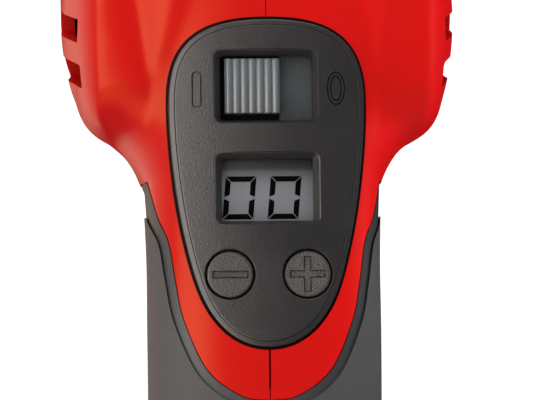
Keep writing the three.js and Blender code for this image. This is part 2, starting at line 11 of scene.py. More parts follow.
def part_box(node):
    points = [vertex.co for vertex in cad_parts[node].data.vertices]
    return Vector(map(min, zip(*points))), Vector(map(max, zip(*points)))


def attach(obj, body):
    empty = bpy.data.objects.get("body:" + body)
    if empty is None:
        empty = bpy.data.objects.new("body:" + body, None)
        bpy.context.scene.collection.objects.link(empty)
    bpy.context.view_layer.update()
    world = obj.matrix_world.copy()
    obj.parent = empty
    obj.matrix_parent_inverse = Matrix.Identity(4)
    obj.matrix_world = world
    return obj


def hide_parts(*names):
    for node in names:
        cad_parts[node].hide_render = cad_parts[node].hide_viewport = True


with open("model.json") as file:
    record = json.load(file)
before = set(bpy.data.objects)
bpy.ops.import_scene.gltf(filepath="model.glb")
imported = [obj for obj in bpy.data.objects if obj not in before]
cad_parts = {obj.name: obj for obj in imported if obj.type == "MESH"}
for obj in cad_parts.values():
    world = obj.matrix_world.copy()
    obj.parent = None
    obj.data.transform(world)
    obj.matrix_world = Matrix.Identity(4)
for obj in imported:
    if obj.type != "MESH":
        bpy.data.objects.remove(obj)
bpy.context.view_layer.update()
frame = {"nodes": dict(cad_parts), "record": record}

MM = 0.001
AXIS_Z = 160.0
NOZZLE_END = 238.0
Y_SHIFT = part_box("nozzle_tube")[1].y / MM - NOZZLE_END
TURN = 2 * math.pi

# The body's sections: back y, z; front y, z (z from the barrel axis); half width; squareness.
STATIONS = np.array([
    (4.5, -160, 46.5, -160, 21.8, 2.8, 2.4),
    (1.6, -158, 49, -158, 23.8, 2.8, 2.4),
    (0.4, -152, 50.2, -152, 24.5, 2.8, 2.4),
    (1.4, -138, 48, -138, 24.3, 2.8, 2.3),
    (3, -114, 47.2, -114, 24.2, 2.8, 2.3),
    (5.4, -90, 50, -92, 24.4, 2.8, 2.3),
    (8.4, -70, 54.5, -73, 24.5, 2.9, 2.3),
    (11.8, -54, 60, -61, 24.5, 3, 2.3),
    (15.2, -38, 65.5, -53, 25, 3, 2.1),
    (16.6, -32, 67.3, -51.3, 25.7, 2.95, 2.0),
    (18.6, -22, 70, -48.5, 29.3, 2.8, 1.6),
    (22.6, -4, 74, -46, 38.8, 2.6, 1.62),
    (31, 16, 78, -44.5, 42, 2.5, 1.7),
    (48, 33, 83, -43.4, 42.5, 2.2, 1.95),
    (72, 42.4, 90, -42.6, 42.4, 2, 2),
    (98, 41.8, 102, -41.6, 41.7, 2, 2),
    (126, 39.6, 126, -39.6, 39.6, 2, 2),
    (150, 36.5, 150, -36.5, 36.5, 2, 2),
])

PANEL_TILT = math.radians(12)
PANEL_CENTRE = np.array([0, 15.3, 122.5])
PANEL_UP = np.array([0, math.sin(PANEL_TILT), math.cos(PANEL_TILT)])
PANEL_OUT = np.array([0, -math.cos(PANEL_TILT), math.sin(PANEL_TILT)])
PANEL_BULGE_R = 75.0
PANEL_PROUD = 0.8


# ---- Mesh helpers ----
def placed(points):
    """Points in the tool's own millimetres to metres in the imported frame."""
    return (np.asarray(points, float) + (0, Y_SHIFT, 0)) * MM


def from_panel(points):
    """Points (u, v, w) on the panel to the tool's own millimetres."""
    points = np.asarray(points, float)
    u, v, w = points[..., :1], points[..., 1:2], points[..., 2:]
    return PANEL_CENTRE + u * (1, 0, 0) + v * PANEL_UP + w * PANEL_OUT


def make(name, points, faces, smooth=True):
    mesh = bpy.data.meshes.new(name)
    mesh.from_pydata(placed(points).tolist(), [], faces)
    mesh.update()
    edit = bmesh.new()
    edit.from_mesh(mesh)
    bmesh.ops.recalc_face_normals(edit, faces=edit.faces)
    edit.to_mesh(mesh)
    edit.free()
    mesh.shade_smooth() if smooth else mesh.shade_flat()
    piece = bpy.data.objects.new(name, mesh)
    bpy.context.scene.collection.objects.link(piece)
    return piece


def stacked(name, loops, closed=False):
    """A solid from a stack of equal loops, capped at both ends or closed on itself."""
    loops = np.asarray(loops, float)
    rows, count = loops.shape[:2]
    faces = []
    for row in range(rows if closed else rows - 1):
        low, high = row * count, ((row + 1) % rows) * count
        for i in range(count):
            j = (i + 1) % count
            faces.append((low + i, low + j, high + j, high + i))
    if not closed:
        faces.append(tuple(range(count))[::-1])
        faces.append(tuple((rows - 1) * count + i for i in range(count)))
    return make(name, loops.reshape(-1, 3), faces)


def evaluated(piece):
    graph = bpy.context.evaluated_depsgraph_get()
    mesh = bpy.data.meshes.new_from_object(piece.evaluated_get(graph))
    piece.modifiers.clear()
    old = piece.data
    piece.data = mesh
    bpy.data.meshes.remove(old)
    return piece


def boolean(piece, operation, tool, keep=False):
    modifier = piece.modifiers.new("cut", "BOOLEAN")
    modifier.operation = operation
    modifier.solver = "MANIFOLD"
    modifier.object = tool
    bpy.context.view_layer.update()
    evaluated(piece)
    if not keep:
        bpy.data.objects.remove(tool)
    return piece


def join(piece, *tools):
    for tool in tools:
        boolean(piece, "UNION", tool)
    return piece


def cut(piece, tool, *others, keep=False):
    return boolean(piece, "DIFFERENCE", join(tool, *others), keep)


def within(piece, tool, keep=False):
    return boolean(piece, "INTERSECT", tool, keep)


def copy_of(piece, name):
    twin = piece.copy()
    twin.data = piece.data.copy()
    twin.name = name
    bpy.context.scene.collection.objects.link(twin)
    return twin


def creased(piece, degrees=32):
    piece.data.shade_smooth()
    piece.data.set_sharp_from_angle(angle=math.radians(degrees))
    return piece


def rounded(piece, width):
    """Rounds the sharp edges of a piece made of clean faces."""
    bevel = piece.modifiers.new("round", "BEVEL")
    bevel.width = width * MM
    bevel.segments = 3
    bevel.limit_method = "ANGLE"
    bevel.angle_limit = math.radians(35)
    bpy.context.view_layer.update()
    return creased(evaluated(piece))


def remove(*pieces):
    for piece in pieces:
        bpy.data.objects.remove(piece)


def block(name, low, high, on_panel=False):
    (x0, y0, z0), (x1, y1, z1) = low, high
    loops = [[(x0, y0, z), (x1, y0, z), (x1, y1, z), (x0, y1, z)] for z in (z0, z1)]
    return stacked(name, from_panel(loops) if on_panel else loops)


def prism(name, outline, low, high):
    """An outline of (u, v) on the panel, pushed through from w = low to w = high."""
    outline = np.asarray(outline, float)
    loops = [np.column_stack([outline, np.full(len(outline), w)]) for w in (low, high)]
    return stacked(name, from_panel(loops))


def turned(name, profile, sides=160, closed=True):
    """A solid of revolution round the barrel axis from a closed (radius, y) profile."""
    angles = np.arange(sides) * TURN / sides
    loops = [
        np.column_stack([r * np.cos(angles), np.full(sides, y), AXIS_Z + r * np.sin(angles)])
        for r, y in profile
    ]
    return creased(stacked(name, loops, closed))


def mirrored(points):
    """The other half of an outline that runs from the axis back to the axis."""
    points = np.asarray(points, float)
    return np.vstack([points, (points * (-1, 1))[::-1][1:-1]])


def bezier(a, b, c, d, steps):
    t = np.linspace(0, 1, steps, endpoint=False)[:, None]
    a, b, c, d = map(np.array, (a, b, c, d))
    return (1 - t) ** 3 * a + 3 * (1 - t) ** 2 * t * b + 3 * (1 - t) * t * t * c + t ** 3 * d


def spline(points, t):
    """Catmull-Rom through equally spaced knots, at t from 0 to 1."""
    points = np.asarray(points, float)
    at = np.asarray(t, float) * (len(points) - 1)
    i = np.clip(at.astype(int), 0, len(points) - 2)
    f = (at - i)[..., None]
    ends = np.vstack([2 * points[0] - points[1], points, 2 * points[-1] - points[-2]])
    p0, p1, p2, p3 = ends[i], ends[i + 1], ends[i + 2], ends[i + 3]
    v0, v1 = (p2 - p0) / 2, (p3 - p1) / 2
    return (2 * p1 - 2 * p2 + v0 + v1) * f ** 3 + (3 * p2 - 3 * p1 - 2 * v0 - v1) * f ** 2 + v0 * f + p1


def smooth(low, high, x):
    t = np.clip((x - low) / (high - low), 0, 1)
    return t * t * (3 - 2 * t)


def rounded_rectangle(left, right, bottom, top, radius, steps=8):
    corners = [(right - radius, top - radius, 0), (left + radius, top - radius, 1),
               (left + radius, bottom + radius, 2), (right - radius, bottom + radius, 3)]
    points = []
    for u, v, quarter in corners:
        for i in range(steps + 1):
            angle = (quarter + i / steps) * math.pi / 2
            points.append((u + radius * math.cos(angle), v + radius * math.sin(angle)))
    return np.array(points)


def oval(u, v, half_u, half_v, count=72):
    angles = np.arange(count) * TURN / count
    return np.column_stack([u + half_u * np.cos(angles), v + half_v * np.sin(angles)])


# ---- Body surface ----
RINGS, SIDES = ((460, 360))


def body_grid(rings, sides, inset):
    along = np.linspace(0, 1, rings)[:, None] * np.ones((1, sides))
    angle = np.ones((rings, 1)) * np.arange(sides) * TURN / sides
    row = spline(STATIONS, along)
    back, front = row[..., 0:2], row[..., 2:4]
    span = back - front
    length = np.linalg.norm(span, axis=-1)
    cosine, sine = np.cos(angle), np.sin(angle)
    exponent = 2 / np.where(cosine > 0, row[..., 5], row[..., 6])
    reach = (length / 2 - inset) * np.sign(cosine) * np.abs(cosine) ** exponent
    x = (row[..., 4] - inset) * np.sign(sine) * np.abs(sine) ** exponent
    yz = (back + front) / 2 + span / length[..., None] * reach[..., None]
    return np.dstack([x, yz[..., 0], yz[..., 1] + AXIS_Z])


# Soft stepped ridges on each side of the panel: a slope, and where it starts and ends across the body,
# first at the ridges' tops and then at their feet.
RIDGES = (
    (-0.10, 5.0, 15.9, 5.0, 21.5),
    (0.2, 15.9, 20.1, 21.5, 24.6),
    (-0.2, 20.1, 27.4, 24.6, 24.6),
    (0.8, 27.4, 33.0, 24.6, 31.5),
)
RIDGE_TOP = 37.8
RIDGE_FOOT = 22.0
RIDGE_SIDE = 41.5
TONGUE_STEP = -42.0


def relief(points, facing):
    """Height of the stepped ridges beside and above the panel, and of the step across the tongue."""
    across = np.abs(points[..., 0])
    up = (points - PANEL_CENTRE) @ PANEL_UP
    drop = np.clip((RIDGE_TOP - up) / (RIDGE_TOP - RIDGE_FOOT), 0, 1)
    height = np.zeros(across.shape)
    total = np.zeros(across.shape)
    for slope, start, end, foot_start, foot_end in RIDGES:
        near = start + (foot_start - start) * drop
        far = end + (foot_end - end) * drop
        height += slope * (np.clip(across, near, far) - near)
        total += slope * (far - near)
    height -= total * smooth(far, RIDGE_SIDE, across)
    height *= smooth(7, 20, up) * (1 - smooth(50, 85, points[..., 1])) * smooth(0.05, 0.45, facing)
    for _ in range(SIDES // 60):
        height = (np.roll(height, 1, axis=1) + 2 * height + np.roll(height, -1, axis=1)) / 4
    step = -0.22 * smooth(TONGUE_STEP + 0.3, TONGUE_STEP - 0.3, up) * smooth(16, 10, points[..., 1])
    return height + step


def body(name, rings, sides, inset=0.0, ribs=False):
    """The body's solid, smaller by inset all round, or with the ridges raised on it."""
    grid = body_grid(rings, sides, inset)
    if ribs:
        slope_a = np.gradient(grid, axis=0)
        slope_b = np.roll(grid, -1, axis=1) - np.roll(grid, 1, axis=1)
        normal = np.cross(slope_b, slope_a)
        normal /= np.linalg.norm(normal, axis=-1, keepdims=True) + 1e-9
        away = grid - grid.mean(axis=1, keepdims=True)
        normal *= np.sign((normal * away).sum(axis=-1, keepdims=True) + 1e-9)
        grid = grid + normal * relief(grid, -normal[..., 1])[..., None]
    return stacked(name, grid)


# ---- Outlines on the panel ----
PANEL_TOP = 34.1
PANEL_WIDE = 20.4


def widened(outline, tangent, offset):
    """An outline moved outwards by offset, square to its tangent at each point."""
    outward = np.column_stack([-tangent[:, 1], tangent[:, 0]])
    outward /= np.linalg.norm(outward, axis=1, keepdims=True)
    return outline + outward * offset


def panel_outline(offset=0.0, steps=40):
    half = np.vstack([
        bezier((0, PANEL_TOP), (14.5, PANEL_TOP), (PANEL_WIDE, 29.5), (PANEL_WIDE, 16.7), steps),
        bezier((PANEL_WIDE, 16.7), (PANEL_WIDE, 4), (17.9, -12), (14.6, -21.5), steps),
        bezier((14.6, -21.5), (12, -28.9), (7, -PANEL_TOP), (0, -PANEL_TOP), steps),
        [(0, -PANEL_TOP)],
    ])
    outline = mirrored(half)
    tangent = np.roll(outline, -1, axis=0) - np.roll(outline, 1, axis=0)
    return widened(outline, tangent, offset)


def tongue_outline(offset, sign, top=None, steps=120):
    """Everything outside the shells' tongue on one side, up to a level top when one is given."""
    edge = spline([
        (0, -45.2), (5.9, -44.2), (12.9, -38.8), (17.6, -28.5), (19.3, -20.2), (20.6, -12),
        (22.7, -6.5), (24.7, 1.5),
    ], np.linspace(0, 1, steps))
    edge = widened(edge, np.gradient(edge, axis=0), offset)
    if top is not None:
        edge = edge[edge[:, 1] < top]
    outline = np.vstack([(-0.6, edge[0, 1]), edge, (50, edge[-1, 1]), (50, -150), (-0.6, -150)])
    return outline * (sign, 1)


GRIP_TOP = 1.5
GRIP_BASE = 10.0
GRIP_SPLIT = -24.0


def grip_space(sign, offset, top=None):
    """The space of one grip: outside the tongue at the back and all round at the front."""
    space = prism("space", tongue_outline(offset, sign, top), GRIP_SPLIT, 30)
    level = GRIP_TOP + offset if top is None else top
    low, high = sorted((-0.6 * sign, 50 * sign))
    join(space, block("front", (low, -150, -110), (high, level, GRIP_SPLIT + 0.5 + offset), True))
    return cut(space, block("base", (-70, -90, -30), (70, 160, GRIP_BASE - offset)))


# Half the width of the seam between the shells at each height: widest beside and under the panel.
SEAM = ((-20, 0.09), (80.4, 0.09), (81.2, 0.2), (130, 0.2), (140, 0.08), (260, 0.08))


def half_space(sign):
    loops = []
    for z, gap in SEAM:
        low, high = sorted((sign * gap, sign * 90))
        loops.append([(low, -60, z), (high, -60, z), (high, 300, z), (low, 300, z)])
    return stacked("half", loops)


# ---- Shells ----
WALL = 3.0
GRIP_SKIN = 1.8
BED_GAP = 0.3
VENT_HEIGHTS = (-17.5, -8, 1.5, 11, 20.5)
VENT_BACK = 39.5
VENT_SLANT = 0.2
VENT_LONG = 24.0
VENT_HIGH = 5.0
SCREW_PLACES = [(41, 16), (43, 98), (62, 126), (141, 129), (141, 191), (72, 196)]
HEAD_SEATS = [14, 14, 17, 17, 17, 9]
BOSS_R = 4.0
SCREW_BORE_R = 1.9
HEAD_BORE_R = 3.5
INLET_Y = 25.5


def circle(radius, sides):
    angles = np.arange(sides) * TURN / sides
    return radius * np.cos(angles), radius * np.sin(angles)


def along_x(name, profile, y, z, sides=48):
    """A solid of revolution along X from a (radius, x) profile."""
    loops = []
    for radius, x in profile:
        across, up = circle(radius, sides)
        loops.append(np.column_stack([np.full(sides, x), y + across, z + up]))
    return stacked(name, loops)


def upright(name, profile, y, sides, closed=False):
    """A solid of revolution round an upright line from a (radius, z) profile."""
    loops = []
    for radius, z in profile:
        across, along = circle(radius, sides)
        loops.append(np.column_stack([across, y + along, np.full(sides, z)]))
    return stacked(name, loops, closed)


def bore(low, high, radius, place):
    return along_x("bore", [(radius, low), (radius, high)], *place)


def vent_cutter(height, sign):
    """A slot through one side of the body; higher slots start further forward."""
    back, z = VENT_BACK + VENT_SLANT * height, AXIS_Z + height
    outline = rounded_rectangle(back, back + VENT_LONG, z - VENT_HIGH / 2, z + VENT_HIGH / 2, 0.9)
    loops = [np.column_stack([np.full(len(outline), x * sign), outline]) for x in (31, 60)]
    return stacked("slot", loops)


def shells():
    outer = body("outer", RINGS, SIDES, ribs=True)
    hollow = body("hollow", 90, 96, inset=WALL)
    cut(hollow, block("floor", (-60, -40, -20), (60, 100, 5)))
    inside = within(prism("collar", panel_outline(4), -8.3, 6), outer, keep=True)
    for place in SCREW_PLACES:
        join(inside, within(bore(-60, 60, BOSS_R, place), outer, keep=True))
    whole = join(cut(copy_of(outer, "whole"), hollow), inside)
    cutter = join(
        turned("front", [(0.01, 138), (33, 138), (33, 156), (0.01, 156)], closed=False),
        prism("opening", panel_outline(-1.8), -20, 16),
        prism("pocket", panel_outline(0.55), -5.3, 16),
        *[vent_cutter(height, sign) for height in VENT_HEIGHTS for sign in (-1, 1)],
        *[bore(-10, seat + 1, SCREW_BORE_R, place) for place, seat in zip(SCREW_PLACES, HEAD_SEATS)],
        *[bore(seat, 60, HEAD_BORE_R, place) for place, seat in zip(SCREW_PLACES, HEAD_SEATS)],
        upright("inlet", [(7.3, -5), (7.3, 10)], INLET_Y, 64),
    )
    cut(whole, cutter)
    pieces = []
    bed = body("bed", RINGS // 2, SIDES // 2, inset=GRIP_SKIN + BED_GAP)
    for name, sign in (("shell_left", -1), ("shell_right", 1)):
        space = cut(grip_space(sign, 0.2), bed, keep=True)
        half = cut(half_space(sign), space)
        pieces.append(creased(within(copy_of(whole, name), half)))
    remove(whole, bed, outer)
    return pieces


# ---- Grips ----
EDGE_BAND = 2.0
COLLAR_FOOT = -5.5


def grips():
    """On each side the soft grip and the smooth band along its edge."""
    core = body("core", RINGS // 2, SIDES // 2, inset=GRIP_SKIN)
    proud = cut(body("proud", RINGS, SIDES, inset=-0.25), core, keep=True)
    flush = cut(body("flush", RINGS, SIDES, inset=0.2), core)
    made = []
    for name, sign in (("left", -1), ("right", 1)):
        main_space = within(grip_space(sign, -EDGE_BAND, COLLAR_FOOT), half_space(sign))
        band_space = within(grip_space(sign, 0), half_space(sign))
        cut(band_space, grip_space(sign, -EDGE_BAND + 0.02, COLLAR_FOOT + 0.02))
        for label, skin, space in (("soft_grip", proud, main_space), ("grip_edge", flush, band_space)):
            if sign > 0:
                for place, seat in zip(SCREW_PLACES[:2], HEAD_SEATS):
                    cut(space, bore(seat, 60, HEAD_BORE_R, place))
            made.append(creased(within(copy_of(skin, f"{label}_{name}"), space)))
    remove(proud, flush)
    return made


# ---- Control panel ----
SWITCH_WINDOW = (-9.6, 9.6, 13.1, 26.5)
SWITCH_BRIM = (-11.0, 10.7, 12.4, 27.7)
DISPLAY_WINDOW = (-9.5, 9.5, -7.8, 5.1)
DISPLAY_BRIM = (-10.8, 10.9, -8.6, 6.3)
BUTTON_PLACES = ((-8.0, -19.0), (8.0, -19.0))
PANEL_THICK = 2.6
SKIRT_FOOT = -5.0
MARK_DEPTH = 0.55
MARK_LINE = 0.3
ON_MARK = (-15.6, -13.5, 15.7, 23.3)
OFF_MARK = (14.4, 19.6)
# Across the panel's edge, from the rim inwards: how far in, and how far below the face.
PANEL_EDGE = (
    (0, -1.4), (0.02, -0.9), (0.06, -0.55), (0.13, -0.36), (0.24, -0.27), (0.4, -0.22), (0.6, -0.18),
    (0.85, -0.14), (1.1, -0.1), (1.14, -0.13), (1.18, -0.26), (1.25, -0.26), (1.29, -0.05), (1.36, 0),
    (1.6, 0), (2.6, 0), (4.4, 0), (6, 0),
)
EDGE_UNDER = 14
# Down through a window: its share of the way from the opening to the brim, and the height over the face.
WINDOW_PROFILE = (
    (0, -12), (0, -2.1), (0.04, -1.85), (0.14, -1.6), (0.78, -0.4), (0.86, -0.16), (0.95, -0.03),
    (1.05, 0), (1.15, 0.6), (1.2, 4),
)
BUTTON_HOLE = ((5.18, -12), (5.18, -0.3), (5.24, -0.14), (5.4, 0), (5.6, 0.4), (5.7, 3))


def face_height(u):
    return PANEL_PROUD + np.sqrt(PANEL_BULGE_R ** 2 - np.asarray(u) ** 2) - PANEL_BULGE_R


def on_face(outline, lift):
    """Outline points raised to the panel's curved face plus lift."""
    return np.column_stack([outline, face_height(outline[:, 0]) + lift])


def panel_loops():
    """The panel's top from its edge to its middle."""
    loops = [on_face(panel_outline(-inward), lift) for inward, lift in PANEL_EDGE]
    inner = panel_outline(-PANEL_EDGE[-1][0])
    centre = np.array([0, 5.0])
    for share in np.linspace(0.94, 0.02, 24):
        loops.append(on_face(centre + (inner - centre) * share, 0))
    return loops


def window_cutter(window, brim, radius):
    """A window with a rounded-over brim that follows the curved face."""
    window, brim = np.array(window), np.array(brim)
    loops = []
    for share, lift in WINDOW_PROFILE:
        sides = window + (brim - window) * share
        loops.append(on_face(rounded_rectangle(*sides, radius + 1.1 * min(share, 1.0), 10), lift))
    return stacked("window", from_panel(loops))


def engraved(shape, depth):
    """A cutter of one shape that reaches depth below the curved face."""
    return stacked("mark", from_panel([on_face(shape, -depth), on_face(shape, 3.0)]))


def engraved_line(outer, inner):
    ring = engraved(outer, MARK_DEPTH)
    return cut(ring, stacked("core", from_panel([on_face(inner, -2.0), on_face(inner, 5.0)])))


def control_panel():
    top = panel_loops()
    count = len(top[0])
    under = [loop - (0, 0, PANEL_THICK) for loop in top[-1:EDGE_UNDER:-1]]
    skirt = [np.column_stack([panel_outline(-1.2), np.full(count, w)]) for w in (-3.4, SKIRT_FOOT)]
    foot = [np.column_stack([panel_outline(0), np.full(count, SKIRT_FOOT)])]
    piece = stacked("panel_plate", from_panel([*under, *skirt, *foot, *top]), closed=True)
    switch_opening = window_cutter(SWITCH_WINDOW, SWITCH_BRIM, 0.5)
    cut(piece, switch_opening, window_cutter(DISPLAY_WINDOW, DISPLAY_BRIM, 0.4))
    for u, v in BUTTON_PLACES:
        hole = [on_face(oval(u, v, radius, radius, 96), lift) for radius, lift in BUTTON_HOLE]
        cut(piece, stacked("hole", from_panel(hole)))
    bar = rounded_rectangle(*ON_MARK, 0.9)
    inner_bar = np.array(ON_MARK) + np.array((1, -1, 1, -1)) * MARK_LINE
    cut(piece, engraved(bar, 0.14))
    cut(piece, engraved_line(bar, rounded_rectangle(*inner_bar, 0.7)))
    for half_u, half_v in ((1.95, 3.5), (1.25, 2.7)):
        ring = oval(*OFF_MARK, half_u, half_v)
        cut(piece, engraved_line(ring, oval(*OFF_MARK, half_u - MARK_LINE, half_v - MARK_LINE)))
    return creased(piece, 40)


# ---- Switch and buttons ----
SHUTTER_TOP = -3.7
KNOB = (-8.7, 2.75, 14.5, 26.0)
KNOB_TOP = -0.95
KNOB_RIBS = 7
BUTTON_TOP = 0.15


def knob_profile(count=210):
    """Across the knob: seven round ribs between narrow grooves, and rounded outer edges."""
    left, right = KNOB[:2]
    u = np.linspace(left, right, count)
    phase = (u - left) / (right - left) * KNOB_RIBS
    ridge = 0.55 * np.abs(np.sin(np.pi * phase)) ** 0.8
    shoulder = 0.35 * (1 - smooth(0, 0.5, np.minimum(u - left, right - u)))
    return u, KNOB_TOP + ridge - shoulder


def slider():
    """The ribbed knob, the shutter behind it, and a black sheet round the knob's edges that is a painted shadow
    of the knob.
    """
    u, height = knob_profile()
    left, right, bottom, top = KNOB
    ends = (
        (bottom, 0.5), (bottom + 0.12, 0.18), (bottom + 0.45, 0), (top - 0.45, 0), (top - 0.12, 0.18), (top, 0.5),
    )
    loops = []
    for v, drop in ends:
        upper = np.column_stack([u, np.full(len(u), v), height - drop])
        lower = np.array([(u[-1], v, SHUTTER_TOP - 0.5), (u[0], v, SHUTTER_TOP - 0.5)])
        loops.append(np.vstack([upper, lower]))
    knob = creased(stacked("switch_knob", from_panel(loops)), 38)
    plate = block("switch_shutter", (left - 7, bottom - 2, SHUTTER_TOP - 1.1),
                  (right + 7, top + 0.8, SHUTTER_TOP), True)
    # Painted shadow: a thin black sheet just over the shutter, showing round the knob's left, top and bottom
    # edges where its shadow falls.
    knob_shadow_sheet = block("switch_knob_shadow", (left - 1.4, bottom - 1.6, SHUTTER_TOP + 0.02),
                    (right, top + 0.6, SHUTTER_TOP + 0.22), True)
    return knob, rounded(plate, 0.2), creased(knob_shadow_sheet)


def button(name, place, strokes):
    """A domed button on its stem; each stroke of its mark is a half width and a half height."""
    u, v = place
    top = BUTTON_TOP
    profile = [(2.0, -7.5), (2.0, -4.1), (5.4, -4.1), (5.4, -3.1), (4.8, -3.1), (4.8, top - 0.5),
               (4.74, top - 0.24), (4.6, top - 0.09), (4.38, top - 0.02), (4.1, top), (2.0, top + 0.03)]
    piece = stacked(name, from_panel([
        np.column_stack([oval(u, v, r, r, 96), np.full(96, w)]) for r, w in profile
    ]))
    for depth, grow in ((0.62, 0.0), (0.32, -0.24)):
        groove = None
        for half_u, half_v in strokes:
            wide, high = half_u + grow, half_v + grow
            bar = prism("stroke", rounded_rectangle(u - wide, u + wide, v - high, v + high, 0.2, 5), -2, 3)
            groove = join(groove, bar) if groove else bar
        if depth > 0.5:
            outline = groove
        else:
            cut(outline, groove, keep=True)
            for cutter, low in ((outline, 0.62), (groove, 0.3)):
                within(cutter, block("above", (u - 6, v - 6, top - low), (u + 6, v + 6, 2), True))
                cut(piece, cutter)
    return creased(piece, 40)


def panel_gap_shade():
    """A black ring in the gap round the panel: painted shade standing in for the gap's shadow."""
    outer, inner = panel_outline(0.5), panel_outline(0.08)
    foot, below_face = -4.9, -1.3
    loops = [
        np.column_stack([outer, np.full(len(outer), foot)]),
        np.column_stack([inner, np.full(len(inner), foot)]),
        on_face(inner, below_face),
        on_face(outer, below_face),
    ]
    return creased(stacked("panel_gap_shade", from_panel(loops), closed=True))


# ---- Display ----
LCD_TOP = -3.7
DIGIT_STROKE = 1.12
DIGIT_WIDE = 6.4
DIGIT_HIGH = 8.95
DIGIT_LEAN = math.tan(math.radians(5))
DIGIT_GAP = 0.13


def digit_segments():
    """The six lit segments of a zero, mitred at the corners and pointed at mid height."""
    w, h, s, g = DIGIT_WIDE, DIGIT_HIGH, DIGIT_STROKE, DIGIT_GAP
    top = [(g, h), (w - g, h), (w - s - g, h - s), (s + g, h - s)]
    upper_left = [(0, h - g), (s, h - s - g), (s, h / 2 + s * 0.6), (0, h / 2 + g * 1.6)]
    pieces = [top, upper_left]
    flipped = [[(x, h - y) for x, y in shape] for shape in pieces]
    both = pieces + flipped
    right = [[(w - x, y) for x, y in shape] for shape in (upper_left, flipped[1])]
    return both + right


def digit(name, left, bottom):
    points, faces = [], []
    for shape in digit_segments():
        first = len(points)
        for lift in (0.0, 0.06):
            points += [(left + x + y * DIGIT_LEAN, bottom + y, LCD_TOP + lift) for x, y in shape]
        count = len(shape)
        faces.append(tuple(range(first, first + count)))
        faces.append(tuple(range(first + count, first + 2 * count)))
        for i in range(count):
            j = (i + 1) % count
            faces.append((first + i, first + j, first + count + j, first + count + i))
    return make(name, from_panel(points), faces, smooth=False)


def display():
    module = block("display_glass", (-12.4, -10.4, -6.8), (12.4, 7.6, LCD_TOP), True)
    rounded(module, 0.25)
    cover = rounded(block("display_cover", (-10.9, -9.3, -3.35), (10.9, 6.6, -2.65), True), 0.15)
    tens = digit("digit_tens", -9.35, -7.35)
    units = digit("digit_units", 0.05, -7.35)
    return module, cover, tens, units


# ---- Barrel ----
GUARD_SLOTS = 10


def nozzle_guard():
    profile = [
        (30.2, 145.4), (32.6, 145.4), (32.6, 150.3), (36, 150.3), (36.3, 150.7), (36.4, 152), (36.3, 157),
        (35.9, 159), (35.2, 162), (30.7, 187), (30.1, 190), (29.4, 193), (28.3, 195.2), (27, 196),
        (24.4, 196), (23.8, 195.5), (23.7, 194.5), (27.6, 187), (32, 160),
    ]
    piece = turned("guard_shroud", profile, 200)
    for i in range(GUARD_SLOTS):
        angle = TURN * (i + 0.5) / GUARD_SLOTS
        outline = rounded_rectangle(162, 184, -3, 3, 2.9, 10)
        loops = []
        for radius in (20, 50):
            across, y = outline[:, 1], outline[:, 0]
            loops.append(np.column_stack([
                radius * math.sin(angle) + across * math.cos(angle), y,
                AXIS_Z + radius * math.cos(angle) - across * math.sin(angle)]))
        cut(piece, stacked("slot", loops))
    return creased(piece)


def nozzle_tube():
    lip = [
        (17, 234.2), (17.1, 234.8), (17.5, 235.3), (17.75, 236), (17.75, 237.2), (17.5, 237.8),
        (17, NOZZLE_END), (16.4, 237.8), (16.05, 237.2),
    ]
    return turned("outlet_tube", [(16, 124), (22, 124), (22, 125.4), (17, 125.4), *lip, (16, 236)], 200)


def heat_shield():
    return turned("shield_plate", [(17.3, 146), (29.9, 146), (29.9, 147.2), (19.4, 147.2), (18.8, 147.5),
                                   (18.6, 148.2), (18.6, 152), (17.3, 152)])


def heating_wire():
    """A helix of round wire round the barrel axis."""
    turns, coil_r, wire_r = 11, 12.0, 0.75
    back, long = 135, 72
    outwards, forwards = circle(wire_r, 10)
    loops = []
    for share in np.linspace(0, 1, turns * 40):
        angle = TURN * turns * share
        out = np.array([math.cos(angle), 0, math.sin(angle)])
        middle = coil_r * out + (0, back + long * share, AXIS_Z)
        loops.append(middle + outwards[:, None] * out + forwards[:, None] * (0, 1, 0))
    return stacked("heating_wire", loops)


def screw(number, y, z, seat):
    seat += 0.3
    profile = [(1.4, -9.5), (1.4, seat), (3, seat), (3, seat + 1), (2.8, seat + 1.5), (2.3, seat + 1.85),
               (1.5, seat + 2)]
    piece = along_x(f"case_screw_{number}", profile, y, z)
    for half_y, half_z in ((1.7, 0.32), (0.32, 1.7)):
        cut(piece, block("drive", (seat + 0.9, y - half_y, z - half_z), (seat + 4, y + half_y, z + half_z)))
    return creased(piece)


def cable_gland():
    profile = [(3.8, 0.6), (4.2, 0), (6.6, 0), (7, 0.4), (7, 5.3), (9.5, 5.3), (9.5, 8), (3.8, 8)]
    return creased(upright("inlet_gland", profile, INLET_Y, 96, closed=True))


# ---- Materials ----
def node(tree, kind, **values):
    made = tree.nodes.new(kind)
    for key, value in values.items():
        if hasattr(made, key):
            setattr(made, key, value)
        else:
            made.inputs[key.replace("_", " ")].default_value = value
    return made


